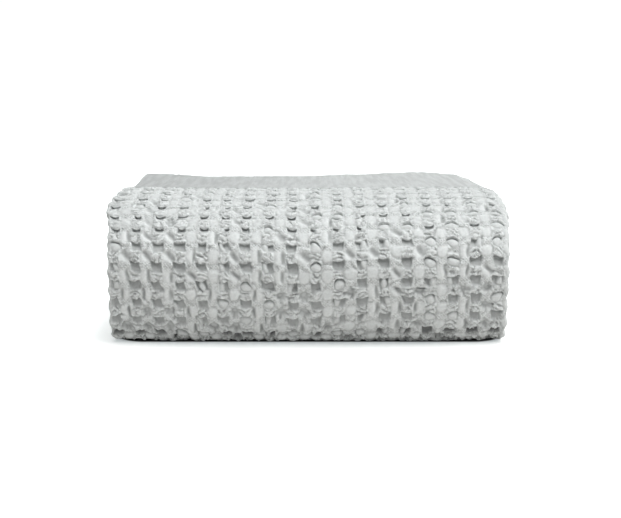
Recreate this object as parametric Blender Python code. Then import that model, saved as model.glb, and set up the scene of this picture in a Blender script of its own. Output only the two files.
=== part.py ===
"""A waffle-weave bedspread with a plain-woven border, folded for the shelf.

The cloth is doubled across its width, folded back and forth, and the stack is folded in half once more,
so its section is a run of nested turns: round at the front, with a fold or a free end for each layer at the
back. The outer turn shows the waffle on the front, and its plain border lies on top, back to the free end.
One solid. Metres, +Z up, front towards -Y, origin under the middle of the base.
"""

import math
import random

import bmesh
import bpy
import numpy as np

# Size of the folded stack
WIDTH = 0.451
DEPTH = 0.345
HEIGHT = 0.172

# Front of the stack, seen from its side: two rounded quarters that meet at the bulge
BULGE_HEIGHT = 0.0865
TOP_RUN = 0.165
TOP_SQUARENESS = 2.20
TOE_RUN = 0.046
TOE_SQUARENESS = 1.75

# The nested turns
TURNS = 7
AIR_SHARE = 0.14
INNER_NOSE = 0.085
INNER_TOE_SHIFT = 0.045
FOLD_FULLNESS = 0.9

# Where each back fold lies, short of DEPTH: the free border end first, then the folds in the cloth's order
BACK_SETBACKS = (0.004, 0.014, 0.019, 0.012, 0.024, 0.017, 0.021, 0.030)

# The waffle
CELL_WIDE = 0.0247
CELL_TALL = 0.0220
COLUMNS = 18
ROWS_ABOVE_BULGE = 7
ROWS_BELOW_BULGE = 5
WINDOW_SHARE = 0.42
POCKET_DEPTH = 0.0066
FILLED_DEPTH = 0.0016
KNOT_DEPTH = 0.0014
BUNDLE_DEPTH = 0.0010
DIMPLE_DEPTH = 0.0030
FILLED_ODDS = 0.30
DIMPLE_ODDS = 0.45

# The plain border: thin, and a little lower than the waffle beside it
BORDER_THICKNESS = 0.0036
BORDER_STEP = 0.0020
BORDER_EASE = 0.35

# How the pile gives: front corners drawn back in plan, the right rear drawn in and slumped, ends wandering
CORNER_BACK = 0.020
CORNER_SHARPNESS = 3.4
SHOULDER_FLARE = 0.006
RIGHT_REAR_INSET = 0.009
LEFT_REAR_FLARE = 0.004
RIGHT_REAR_DROP = 0.003
LEFT_DROP = 0.002
LEFT_DROP_RUN = 0.024
RIGHT_DROP = 0.004
RIGHT_DROP_RUN = 0.032
BACK_WAVE = 0.0035
END_WANDER = 0.0025
END_THICKNESS = 0.45
END_ROUNDING = 0.0045

# The soft waves of the top towards the back: (x, height)
TOP_WAVES = (
    (-0.224, 0.0000),
    (-0.200, 0.0035),
    (-0.130, -0.0025),
    (-0.010, -0.0025),
    (0.060, 0.0000),
    (0.150, 0.0030),
    (0.224, 0.0000),
)

# Resolution
COARSE_STATIONS = (-0.72, -0.42, -0.14, 0.14, 0.42, 0.72)
LEG_STEPS = 4
NOSE_STEPS = 5
TURN_STEPS = 4

CLOTH_COLOUR = (0.62, 0.64, 0.63, 1.0)
CLOTH_ROUGHNESS = 0.9

LAYER_SHARE = 1 / TURNS
THICKNESS_SHARE = (1 - AIR_SHARE) * LAYER_SHARE
TOP_BACK, NOSE_TOP, BULGE, NOSE_END, BOTTOM_BACK = -2.0, -1.0, 0.0, 1.0, 2.0


def smooth(value, low, high):
    """0 below low, 1 above high, and a smooth step between them."""
    share = min(1.0, max(0.0, (value - low) / (high - low)))
    return share * share * (3 - 2 * share)


def rounded(angle, squareness):
    """(across, up) on a quarter of a rounded square, from the tip at angle 0 to the flat at a right angle."""
    return math.cos(angle) ** (2 / squareness), math.sin(angle) ** (2 / squareness)


def nest_point(place, inward, backs):
    """(y, z) on the nested turns.

    place runs from TOP_BACK over the nose to BOTTOM_BACK. inward is 0 at the outside of the stack and 1 at its
    middle plane. backs holds where the top leg and the bottom leg end, along y.
    """
    upper = (HEIGHT - BULGE_HEIGHT) * (1 - inward)
    lower = BULGE_HEIGHT * (1 - inward)
    nose = inward * INNER_NOSE
    toe = TOE_RUN + inward * INNER_TOE_SHIFT
    if place < NOSE_TOP:
        return TOP_RUN + (backs[0] - TOP_RUN) * (NOSE_TOP - place), BULGE_HEIGHT + upper
    if place < BULGE:
        across, up = rounded(-place * math.pi / 2, TOP_SQUARENESS)
        return TOP_RUN - (TOP_RUN - nose) * across, BULGE_HEIGHT + upper * up
    if place < NOSE_END:
        across, down = rounded(place * math.pi / 2, TOE_SQUARENESS)
        return toe - (toe - nose) * across, BULGE_HEIGHT - lower * down
    return toe + (backs[1] - toe) * (place - NOSE_END), BULGE_HEIGHT - lower


def border_place():
    """The place on the outer turn where the waffle ends and the plain border starts."""
    return place_at(-ROWS_ABOVE_BULGE * CELL_TALL)


def place_at(distance, steps=600):
    """The place on the outer turn that lies this far along it from the bulge, below it if positive."""
    places = np.linspace(TOP_BACK, BOTTOM_BACK, steps)
    points = np.array([nest_point(p, 0.0, (DEPTH, DEPTH)) for p in places])
    lengths = np.concatenate([[0], np.cumsum(np.linalg.norm(np.diff(points, axis=0), axis=1))])
    lengths -= np.interp(BULGE, places, lengths)
    return float(np.interp(distance, lengths, places))


def under_border(place, inward, start):
    """inward, moved out under the thin border so that the layers below it fill the height that it leaves."""
    amount = smooth(start - place, 0.0, BORDER_EASE)
    top_height = HEIGHT - BULGE_HEIGHT
    wanted = (BORDER_STEP + BORDER_THICKNESS) / top_height + AIR_SHARE * LAYER_SHARE
    return inward - amount * (LAYER_SHARE - wanted) * (1 - inward) / (1 - LAYER_SHARE)


def border_inward(place, outside, start):
    """inward of the outer turn's two faces, where it thins from the waffle to the plain border."""
    amount = smooth(start - place, 0.0, BORDER_EASE)
    top_height = HEIGHT - BULGE_HEIGHT
    full = 0 if outside else THICKNESS_SHARE
    thin = (BORDER_STEP + (0 if outside else BORDER_THICKNESS)) / top_height
    return full + amount * (thin - full)


class Row:
    """One row of the cloth's face, across its width: where it is along the cloth, its point in the section and
    the middle of the layer there, and the stations across the width with the depth of the waffle at each."""

    def __init__(self, along, point, middle, stations, depths=None, inwards=(0.0, 0.0)):
        self.along = along
        self.point = np.array(point)
        self.middle = np.array(middle)
        self.stations = stations
        self.depths = depths or [0.0] * len(stations)
        self.inwards = np.array(inwards)


def coarse_stations():
    """Shares of the half width across a row with no waffle on it, with a rounding station by each end."""
    edge = 1 - END_ROUNDING / (WIDTH / 2)
    return [-1.0, -edge, *COARSE_STATIONS, edge, 1.0]


def waffle_stations():
    """Shares of the half width across a waffle row: both sides of every window, and the ridges between."""
    half = WIDTH / 2
    edge = 1 - END_ROUNDING / half
    found = [(-1.0, "end"), (-edge, "ridge")]
    for column in range(COLUMNS):
        middle = (column - (COLUMNS - 1) / 2) * CELL_WIDE
        for side in (-1, 1):
            found.append(((middle + side * WINDOW_SHARE / 2 * CELL_WIDE) / half, "window"))
        if column < COLUMNS - 1:
            found.append(((middle + CELL_WIDE / 2) / half, "ridge"))
    return found + [(edge, "ridge"), (1.0, "end")]


def waffle_rows():
    """(distance from the bulge, kind, row number) of each row of points on the waffle."""
    found = [(-ROWS_ABOVE_BULGE * CELL_TALL, "border", 0)]
    count = ROWS_ABOVE_BULGE + ROWS_BELOW_BULGE
    for number in range(count):
        middle = (number + 0.5 - ROWS_ABOVE_BULGE) * CELL_TALL
        for side in (-1, 1):
            found.append((middle + side * WINDOW_SHARE / 2 * CELL_TALL, "window", number))
        found.append((middle + CELL_TALL / 2, "ridge" if number < count - 1 else "border", number + 1))
    return found


def waffle_depths(kind, number, stations, filled, dimpled):
    """How far each station of a waffle row lies under the outside of the cloth."""
    depths = []
    window = 0
    for _, across in stations:
        if across == "end" or kind == "border":
            depths.append(0.0)
        elif kind == "window" and across == "window":
            depths.append(FILLED_DEPTH if filled[number][window // 2] else POCKET_DEPTH)
        elif kind == "window":
            depths.append(KNOT_DEPTH)
        elif across == "window":
            depths.append(BUNDLE_DEPTH)
        else:
            depths.append(DIMPLE_DEPTH if dimpled[number][window // 2] else 0.0)
        window += across == "window"
    return depths


def turn_faces(number, outside):
    """inward of one face of a turn of the nest."""
    return number * LAYER_SHARE + (0 if outside else THICKNESS_SHARE)


def leg_places():
    """Places down one turn of the nest, from its top end to its bottom end."""
    steps = (LEG_STEPS, NOSE_STEPS, NOSE_STEPS, LEG_STEPS)
    places = [TOP_BACK]
    for part, count in enumerate(steps):
        places += [TOP_BACK + part + (step + 1) / count for step in range(count)]
    return places


def turn_rows(number, outside, backs, start):
    """The rows of one face of one turn, from its top end to its bottom end."""
    rows = []
    middle_share = number * LAYER_SHARE + THICKNESS_SHARE / 2
    for place in leg_places():
        if number == 0:
            face = border_inward(place, outside, start)
            middle = (border_inward(place, True, start) + border_inward(place, False, start)) / 2
        else:
            face = under_border(place, turn_faces(number, outside), start)
            middle = under_border(place, middle_share, start)
        rows.append(
            Row(place, nest_point(place, face, backs), nest_point(place, middle, backs), coarse_stations())
        )
    return rows


def with_waffle(rows, backs, start):
    """The outer face's rows with those on the waffle replaced by its own finer ones."""
    picker = random.Random(11)
    stations = waffle_stations()
    count = ROWS_ABOVE_BULGE + ROWS_BELOW_BULGE + 1
    filled = [[picker.random() < FILLED_ODDS for _ in range(COLUMNS)] for _ in range(count)]
    dimpled = [[picker.random() < DIMPLE_ODDS for _ in range(COLUMNS + 1)] for _ in range(count)]
    fine = []
    for distance, kind, number in waffle_rows():
        place = place_at(distance)
        face = border_inward(place, True, start)
        middle = THICKNESS_SHARE / 2
        point, centre = nest_point(place, face, backs), nest_point(place, middle, backs)
        inwards = np.subtract(centre, point)
        depths = waffle_depths(kind, number, stations, filled, dimpled)
        fine.append(
            Row(place, point, centre, [s for s, _ in stations], depths, inwards / np.linalg.norm(inwards))
        )
    first, last = fine[0].along, fine[-1].along
    margin = 0.06
    return (
        [row for row in rows if row.along < first - margin]
        + fine
        + [row for row in rows if row.along > last + margin]
    )


def fold_rows(first, second):
    """Rows round the back, from the end row of one leg to the end row of the next, as half of a flat circle."""
    rows = []
    for step in range(1, TURN_STEPS + 1):
        angle = math.pi * step / (TURN_STEPS + 1)
        ends = []
        for a, b in ((first.point, second.point), (first.middle, second.middle)):
            centre, reach = (a + b) / 2, abs(a[1] - b[1]) / 2
            height = (a[1] - b[1]) / 2 * math.cos(angle)
            ends.append((centre[0] + reach * FOLD_FULLNESS * math.sin(angle), centre[1] + height))
        along = step / (TURN_STEPS + 1)
        rows.append(Row(along, ends[0], ends[1], coarse_stations()))
    return rows


def cloth_side(even_outside, start):
    """All the rows of one side of the cloth, from the free border end on top to the end in the middle.

    even_outside says whether this side faces out on the turns with even numbers.
    """
    side, along = [], 0.0
    for number in range(TURNS):
        downwards = number % 2 == 0
        setbacks = BACK_SETBACKS[number], BACK_SETBACKS[number + 1]
        ends = [DEPTH - setback for setback in setbacks]
        backs = ends if downwards else ends[::-1]
        outside = even_outside == downwards
        rows = turn_rows(number, outside, backs, start)
        if number == 0 and outside:
            rows = with_waffle(rows, backs, start)
        for row in rows:
            share = (row.along - TOP_BACK) / (BOTTOM_BACK - TOP_BACK)
            row.along = along + (share if downwards else 1 - share)
        if not downwards:
            rows.reverse()
        if side:
            fold = fold_rows(side[-1], rows[0])
            for row in fold:
                row.along += along - 1
            side += fold
        side += rows
        along += 2
    return side


def between(x, table):
    """The table's value at x, eased from each of its rows to the next."""
    for (low, before), (high, after) in zip(table, table[1:]):
        if x <= high:
            return before + (after - before) * smooth(x, low, high)
    return table[-1][1]


def give(x, y, z, along):
    """Where the pile's own weight and handling take a point of the even stack."""
    half = WIDTH / 2
    share = min(1.0, abs(x) / half)
    rear = smooth(y, 0.14, 0.32)
    y += CORNER_BACK * share**CORNER_SHARPNESS * (1 - smooth(y, 0.02, 0.20))
    y -= 0.4 * CORNER_BACK * share**4 * rear
    y += BACK_WAVE * math.sin(9 * x + 1.9 * along) * smooth(y, 0.27, DEPTH)
    if x < 0:
        drop = LEFT_DROP * smooth(-x, half - LEFT_DROP_RUN, half)
    else:
        drop = (RIGHT_DROP + RIGHT_REAR_DROP * rear) * smooth(x, half - RIGHT_DROP_RUN, half)
    rise = between(x, TOP_WAVES) * smooth(y, 0.08, 0.26)
    x += math.copysign(SHOULDER_FLARE * share**8, x) * smooth(z, 0.11, 0.16) * (1 - smooth(y, 0.06, 0.18))
    x -= share**3 * rear * (RIGHT_REAR_INSET if x > 0 else LEFT_REAR_FLARE)
    return x, y, z * (1 + (rise - drop) / HEIGHT)


def row_points(row):
    """The row's points, after the pile's give."""
    points = []
    left, right = math.sin(2.3 * row.along + 0.4), math.sin(1.9 * row.along + 2.0)
    for station, depth in zip(row.stations, row.depths):
        y, z = row.point + row.inwards * depth
        if abs(station) == 1:
            y, z = row.middle + (row.point - row.middle) * END_THICKNESS
        wander = END_WANDER * (left if station < 0 else right)
        x = station * (WIDTH / 2 + wander * abs(station) ** 8)
        points.append(give(x, y, z, row.along))
    return points


def bridge(bm, first, second):
    """Faces between two runs of (share, vertex): quads where their shares agree, and triangles where not."""
    i = j = 0
    while i < len(first) - 1 or j < len(second) - 1:
        next_first = first[i + 1][0] if i < len(first) - 1 else math.inf
        next_second = second[j + 1][0] if j < len(second) - 1 else math.inf
        if abs(next_first - next_second) < 1e-6:
            corners = (first[i], first[i + 1], second[j + 1], second[j])
            i, j = i + 1, j + 1
        elif next_first < next_second:
            corners = (first[i], first[i + 1], second[j])
            i += 1
        else:
            corners = (first[i], second[j + 1], second[j])
            j += 1
        bm.faces.new([vertex for _, vertex in corners])


def centre_on_base(bm):
    """Moves the cloth so that the middle of its box's base is the origin."""
    points = np.array([vertex.co for vertex in bm.verts])
    low, high = points.min(0), points.max(0)
    shift = (-(low[0] + high[0]) / 2, -(low[1] + high[1]) / 2, -low[2])
    bmesh.ops.translate(bm, vec=shift, verts=bm.verts)


def cloth_material():
    """Matt pale grey cotton."""
    material = bpy.data.materials.new("waffle_cotton")
    material.use_nodes = True
    shader = material.node_tree.nodes["Principled BSDF"]
    shader.inputs["Base Color"].default_value = CLOTH_COLOUR
    shader.inputs["Roughness"].default_value = CLOTH_ROUGHNESS
    shader.inputs["Metallic"].default_value = 0.0
    return material


def folded_bedspread():
    """The whole cloth as one closed solid."""
    bm = bmesh.new()
    start = border_place()
    sides = []
    for even_outside in (True, False):
        side = []
        for row in cloth_side(even_outside, start):
            vertices = [bm.verts.new(point) for point in row_points(row)]
            side.append((row.along, list(zip(row.stations, vertices))))
        for (_, first), (_, second) in zip(side, side[1:]):
            bridge(bm, first, second)
        sides.append(side)
    for end in (0, -1):
        bridge(bm, *[[(along, row[end][1]) for along, row in side] for side in sides])
        bridge(bm, sides[0][end][1], sides[1][end][1])
    bmesh.ops.recalc_face_normals(bm, faces=bm.faces)
    centre_on_base(bm)
    mesh = bpy.data.meshes.new("bedspread")
    bm.to_mesh(mesh)
    bm.free()
    mesh.shade_smooth()
    mesh.materials.append(cloth_material())
    bedspread = bpy.data.objects.new("bedspread", mesh)
    bpy.context.scene.collection.objects.link(bedspread)
    return bedspread


def main():
    for thing in list(bpy.data.objects):
        bpy.data.objects.remove(thing)
    folded_bedspread()


main()
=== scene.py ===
"""Looks of the folded waffle bedspread: its woven cloth, its sewn hem and the stage it is seen on.

The cloth is one sleeve, doubled across its width, that runs back and forth on the folds of the CAD solid.
It is swept row by row along its section. The waffle is raised in the mesh, the thread is in the material.
Metres, +Z up, front towards -Y.
"""

import functools
import math

import bpy
import numpy as np
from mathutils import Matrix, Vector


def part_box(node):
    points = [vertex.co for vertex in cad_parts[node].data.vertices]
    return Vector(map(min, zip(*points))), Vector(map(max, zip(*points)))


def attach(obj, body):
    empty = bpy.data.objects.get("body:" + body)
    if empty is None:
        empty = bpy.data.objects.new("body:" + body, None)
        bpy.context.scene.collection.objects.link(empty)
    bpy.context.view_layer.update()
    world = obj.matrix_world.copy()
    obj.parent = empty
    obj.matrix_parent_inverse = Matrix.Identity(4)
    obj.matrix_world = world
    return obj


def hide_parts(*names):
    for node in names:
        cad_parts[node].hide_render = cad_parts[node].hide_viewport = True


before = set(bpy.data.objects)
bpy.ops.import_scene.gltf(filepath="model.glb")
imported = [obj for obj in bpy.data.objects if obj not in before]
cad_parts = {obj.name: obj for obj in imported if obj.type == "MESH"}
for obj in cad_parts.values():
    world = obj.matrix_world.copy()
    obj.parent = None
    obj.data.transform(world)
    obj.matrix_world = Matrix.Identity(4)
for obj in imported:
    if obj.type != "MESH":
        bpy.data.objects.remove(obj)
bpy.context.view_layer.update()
NODE = "bedspread"
NODE_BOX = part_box(NODE)

bl_info = {
    "name": "Folded waffle bedspread",
    "version": (1, 0, 0),
    "blender": (4, 5, 0),
    "location": "3D View > Sidebar > Bedspread",
    "description": "Weaves, folds and hems a puckered waffle bedspread, and sets its stage",
    "category": "Object",
}

# The folded pile: the same sizes as its solid
WIDTH = 0.451
DEPTH = 0.345
HEIGHT = 0.172
BULGE_HEIGHT = 0.0865
TOP_RUN = 0.165
TOP_SQUARENESS = 2.20
TOE_RUN = 0.046
TOE_SQUARENESS = 1.75
TURNS = 7
AIR_SHARE = 0.14
INNER_NOSE = 0.085
INNER_TOE_SHIFT = 0.045
FOLD_FULLNESS = 0.9
BACK_SETBACKS = (0.004, 0.014, 0.019, 0.012, 0.024, 0.017, 0.021, 0.030)
BORDER_THICKNESS = 0.0036
BORDER_STEP = 0.0020
BORDER_EASE = 0.35
SEAM_INSET = 0.0022
SEAM_DEPTH = 0.0009
FOLD_LAP = 0.015
CORNER_RUN = (0.02, 0.20)
CORNER_BACK = 0.020
CORNER_SHARPNESS = 3.4
FLARE_RUN = (0.06, 0.18)
FLARE_SHARPNESS = 8
SHOULDER_FLARE = 0.006
LEFT_SHOULDER_FLARE = 0.005
TOE_FLARE = 0.0020
TOE_FORWARD = 0.011
REAR_RUN = (0.14, 0.32)
RIGHT_REAR_INSET = 0.004
LEFT_REAR_FLARE = 0.004
RIGHT_REAR_DROP = 0.001
LEFT_DROP = 0.002
LEFT_DROP_RUN = 0.024
RIGHT_DROP = 0.004
RIGHT_DROP_RUN = 0.020
BACK_WAVE = 0.0035
END_WANDER = 0.0025
END_SHARPNESS = 8
TOP_WAVES = (
    (-0.224, 0.0036),
    (-0.200, 0.0014),
    (-0.130, -0.0025),
    (-0.010, -0.0025),
    (0.060, 0.0000),
    (0.150, 0.0030),
    (0.224, 0.0000),
)
LAYER_SHARE = 1 / TURNS
THICKNESS_SHARE = (1 - AIR_SHARE) * LAYER_SHARE

# The waffle's columns, by the x of their pockets, and the height of its rows
COLUMN_X = (
    (-0.2175, -0.1930, -0.1690, -0.1438, -0.1179, -0.0962, -0.0702, -0.0451, -0.0193)
    + (0.0074, 0.0322, 0.0584, 0.0832, 0.1096, 0.1347, 0.1599, 0.1860, 0.2110)
)
COLUMNS = len(COLUMN_X)
ROW_TALL = 0.0220
ROWS_ABOVE_BULGE = 8
FRONT_ROWS = 13
END_RADIUS = 0.0040


# Small numerical tools


def eased(value):
    """value, cut to 0 to 1 and eased at both ends."""
    value = np.clip(value, 0.0, 1.0)
    return value * value * (3 - 2 * value)


def smooth(value, low, high):
    return eased((value - low) / (high - low))


def within(distance, reach, edge):
    """1 where distance is less than reach, 0 where it is more, with an eased edge this wide."""
    return eased((reach - np.abs(distance)) / edge + 0.5)


def hashed(i, j, salt):
    """A repeatable number from 0 to 1 for each pair of whole numbers."""
    value = np.sin(i * 127.1 + j * 311.7 + salt * 74.7) * 43758.5453
    return value - np.floor(value)


def noise(x, y, salt):
    """Smooth noise from -1 to 1, with bumps about one unit across."""
    i, j = np.floor(x), np.floor(y)
    a, b = eased(x - i), eased(y - j)
    low = hashed(i, j, salt) * (1 - a) + hashed(i + 1, j, salt) * a
    high = hashed(i, j + 1, salt) * (1 - a) + hashed(i + 1, j + 1, salt) * a
    return 2 * (low * (1 - b) + high * b) - 1


# The section of the pile


def rounded(angle, squareness):
    """(across, up) on a quarter of a rounded square, from the tip at angle 0 to the flat at a right angle."""
    angle = np.clip(angle, 0, math.pi / 2)
    return np.cos(angle) ** (2 / squareness), np.sin(angle) ** (2 / squareness)


def nest_points(place, inward, backs):
    """Points (y, z) on the nested turns: place runs from -2 at the top back, over the nose at 0, to 2 at the
    bottom back, and inward from 0 at the outside of the pile to 1 at its middle plane."""
    upper, lower = (HEIGHT - BULGE_HEIGHT) * (1 - inward), BULGE_HEIGHT * (1 - inward)
    nose, toe = inward * INNER_NOSE, TOE_RUN + inward * INNER_TOE_SHIFT
    over, up = rounded(-place * math.pi / 2, TOP_SQUARENESS)
    under, down = rounded(place * math.pi / 2, TOE_SQUARENESS)
    y = np.select(
        [place < -1, place < 0, place < 1],
        [
            TOP_RUN + (backs[0] - TOP_RUN) * (-1 - place),
            TOP_RUN - (TOP_RUN - nose) * over,
            toe - (toe - nose) * under,
        ],
        toe + (backs[1] - toe) * (place - 1),
    )
    z = np.select(
        [place < -1, place < 0, place < 1],
        [BULGE_HEIGHT + upper, BULGE_HEIGHT + upper * up, BULGE_HEIGHT - lower * down],
        BULGE_HEIGHT - lower,
    )
    return np.stack([y, z], axis=-1)


def lengths_along(points):
    """The distance along a line of points, from its first."""
    return np.concatenate([[0], np.cumsum(np.linalg.norm(np.diff(points, axis=0), axis=1))])


def border_start():
    """The place on the outer turn where the waffle ends and the plain border starts."""
    places = np.linspace(-2, 2, 4001)
    lengths = lengths_along(nest_points(places, np.zeros_like(places), (DEPTH, DEPTH)))
    return float(np.interp(np.interp(0, places, lengths) - ROWS_ABOVE_BULGE * ROW_TALL, lengths, places))


def face_inward(number, outside, places, start):
    """inward of one face of a turn. The outer turn thins to the plain border, and those under it fill up."""
    amount = eased((start - places) / BORDER_EASE)
    top_height = HEIGHT - BULGE_HEIGHT
    full = number * LAYER_SHARE + (0 if outside else THICKNESS_SHARE)
    if number == 0:
        thin = (BORDER_STEP + (0 if outside else BORDER_THICKNESS)) / top_height
        return full + amount * (thin - full)
    wanted = (BORDER_STEP + BORDER_THICKNESS) / top_height + AIR_SHARE * LAYER_SHARE
    return full - amount * (LAYER_SHARE - wanted) * (1 - full) / (1 - LAYER_SHARE)


class ClothPath:
    """The folded cloth's section as one long line, from the border's free edge to the end in the middle.

    near and far are its two faces, near being the one that shows on the front. length runs along its middle.
    """

    def __init__(self, samples=500, fold_samples=60):
        start = border_start()
        near, far, along, marks = [], [], [], []
        for number in range(TURNS):
            downwards = number % 2 == 0
            setbacks = BACK_SETBACKS[number], BACK_SETBACKS[number + 1]
            backs = [DEPTH - setback for setback in setbacks]
            places = np.linspace(-2, 2, samples)
            ends = backs if downwards else backs[::-1]
            faces = [
                nest_points(places, face_inward(number, outside, places, start), ends)
                for outside in (downwards, not downwards)
            ]
            if not downwards:
                faces = [face[::-1] for face in faces]
            if number:
                angle = np.linspace(0, math.pi, fold_samples + 2)[1:-1]
                for line, face in zip((near, far), faces):
                    a, b = line[-1][-1], face[0]
                    y = (a[0] + b[0]) / 2 + abs(a[1] - b[1]) / 2 * FOLD_FULLNESS * np.sin(angle)
                    z = (a[1] + b[1]) / 2 + (a[1] - b[1]) / 2 * np.cos(angle)
                    line.append(np.stack([y, z], axis=-1))
                along.append(2 * number - 1 + angle / math.pi)
                marks.append((2 * number - 1, 2 * number))
            near.append(faces[0])
            far.append(faces[1])
            along.append(2 * number + np.linspace(0, 1, samples))
        self.near, self.far = np.concatenate(near), np.concatenate(far)
        self.along = np.concatenate(along)
        self.length = lengths_along((self.near + self.far) / 2)
        boundary = (start + 2) / 4
        self.near_length = lengths_along(self.near)
        self.far_length = lengths_along(self.far)
        self.near_length -= np.interp(boundary, self.along, self.near_length)
        self.far_length -= np.interp(boundary, self.along, self.far_length)
        self.boundary = self.at_along(boundary)

    def at_along(self, along):
        """The middle's length where the cloth's own measure has this value."""
        return float(np.interp(along, self.along, self.length))

    def at_near_length(self, value):
        return float(np.interp(value, self.near_length, self.length))

    def rows(self, lengths):
        """near, far, along, near_length and far_length at these lengths."""

        def read(column):
            return np.interp(lengths, self.length, column)

        near = np.stack([read(self.near[:, k]) for k in (0, 1)], axis=-1)
        far = np.stack([read(self.far[:, k]) for k in (0, 1)], axis=-1)
        return near, far, read(self.along), read(self.near_length), read(self.far_length)


def given(x, y, z, along):
    """Where the pile's own weight and handling take points of the even stack."""
    half = WIDTH / 2
    share = np.minimum(1.0, np.abs(x) / half)
    rear = smooth(y, *REAR_RUN)
    y = y + CORNER_BACK * share**CORNER_SHARPNESS * (1 - smooth(y, *CORNER_RUN))
    y = y - 0.4 * CORNER_BACK * share**4 * rear
    y = y + BACK_WAVE * np.sin(9 * x + 1.9 * along) * smooth(y, 0.27, DEPTH)
    left = LEFT_DROP * smooth(-x, half - LEFT_DROP_RUN, half)
    right = (RIGHT_DROP + RIGHT_REAR_DROP * rear) * smooth(x, half - RIGHT_DROP_RUN, half)
    rise = np.zeros_like(x) + TOP_WAVES[-1][1]
    for (low, before), (high, after) in reversed(list(zip(TOP_WAVES, TOP_WAVES[1:]))):
        rise = np.where(x <= high, before + (after - before) * smooth(x, low, high), rise)
    rise = rise * smooth(y, 0.08, 0.26)
    flare = SHOULDER_FLARE * share**FLARE_SHARPNESS * smooth(z, 0.11, 0.16) * (1 - smooth(y, *FLARE_RUN))
    inset = np.where(x > 0, RIGHT_REAR_INSET, LEFT_REAR_FLARE)
    x = x + np.sign(x) * flare - share**3 * rear * inset
    return x, y, z * (1 + (rise - left - right) / HEIGHT)


def settled(x, y, z):
    """Points with the ends of the front let out where they spread in use: at the foot, which also comes
    forward, and at the left shoulder."""
    share = np.minimum(1.0, np.abs(x) / (WIDTH / 2))
    foot = 1 - smooth(z, 0.004, 0.060)
    shoulder = LEFT_SHOULDER_FLARE * smooth(z, 0.135, 0.155) * (x < 0)
    flare = share**FLARE_SHARPNESS * (1 - smooth(y, *FLARE_RUN)) * (TOE_FLARE * foot + shoulder)
    forward = TOE_FORWARD * share**CORNER_SHARPNESS * foot * (1 - smooth(y, *CORNER_RUN))
    return x + np.sign(x) * flare, y - forward, z


def end_wander(x, along):
    """How far the left or the right end of the cloth strays outwards."""
    return END_WANDER * np.where(x < 0, np.sin(2.3 * along + 0.4), np.sin(1.9 * along + 2.0))


# The waffle's relief

# What each pocket of the front holds, from the border down and from the left: o nothing, p a popped-out dome,
# n a narrow one, l a ridge down its left side, r a ridge down its right side
POCKETS = (
    "ooopooooopooooopoo",
    "oooopoooopoooooooo",
    "ooopooooopoooooooo",
    "opoollopoopooporpr",
    "ooooooooopploopppp",
    "oooooloporrrppopop",
    "poooololoporropprp",
    "roooololoporooppoo",
    "rooonlpoloponorlor",
    "ooooopopooloropoop",
    "ooooloploolrooppoo",
    "oooppoolplpprloooo",
    "oopooolopooprooloo",
)
POCKET_SHARES = {"o": 0.58, "p": 0.20, "n": 0.04, "l": 0.10, "r": 0.08}
# What stands between four pockets: D a dome, S a star-shaped dimple, V a ridge with a trough on its right,
# W one with the trough on its left, T a slanting trough
CROSSINGS = (
    "DDDDDDDDDDDDDDDDDDD",
    "DDDDDDDDDDDDDDDDDDD",
    "DDDDTDDDDVDDDDDDDDD",
    "DDTDDDDTDDDDDVDDDDD",
    "DDTDDDTDDTDDDDDDDVD",
    "DDTSDDTDDTVDDDDVDDD",
    "DVTTDVDDTDVDDTDDDDD",
    "DTTTVDTVVTDTTDTDVDD",
    "DVVVTDTVVDDDDTDVVTD",
    "DWWVDWDWSSDSVTSDSSD",
    "DVSSWDSWSSDDVVWDVSD",
    "DSSSVSSVDWSDDVSDVSD",
    "DDDVDDSDDDDSDDDSDDD",
    "DDDDDDDDDDDDDDDDDDD",
)
CROSSING_SHARES = {"D": 0.52, "S": 0.20, "V": 0.12, "W": 0.06, "T": 0.10}
MM = 0.001
DEEPEST_GROUND = 0.0060


def kinds(table, shares, i, j, front, salt):
    """The letter at column i and row j: from the table on the front, at random by its share elsewhere."""
    listed, letters = np.array([list(line) for line in table]), np.array(list(shares))
    rows, columns = listed.shape
    known = front & (j >= 0) & (j < rows) & (i >= 0) & (i < columns)
    row, column = np.clip(j, 0, rows - 1).astype(int), np.clip(i, 0, columns - 1).astype(int)
    drawn = np.searchsorted(np.cumsum(list(shares.values())), hashed(i, j, salt), side="right")
    return np.where(known, listed[row, column], letters[np.minimum(drawn, len(letters) - 1)])


def half_round(distance, reach, power=0.5):
    """A rounded bump, 1 in its middle and 0 from reach on."""
    return np.clip(1 - (distance / reach) ** 2, 0, 1) ** power


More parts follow.
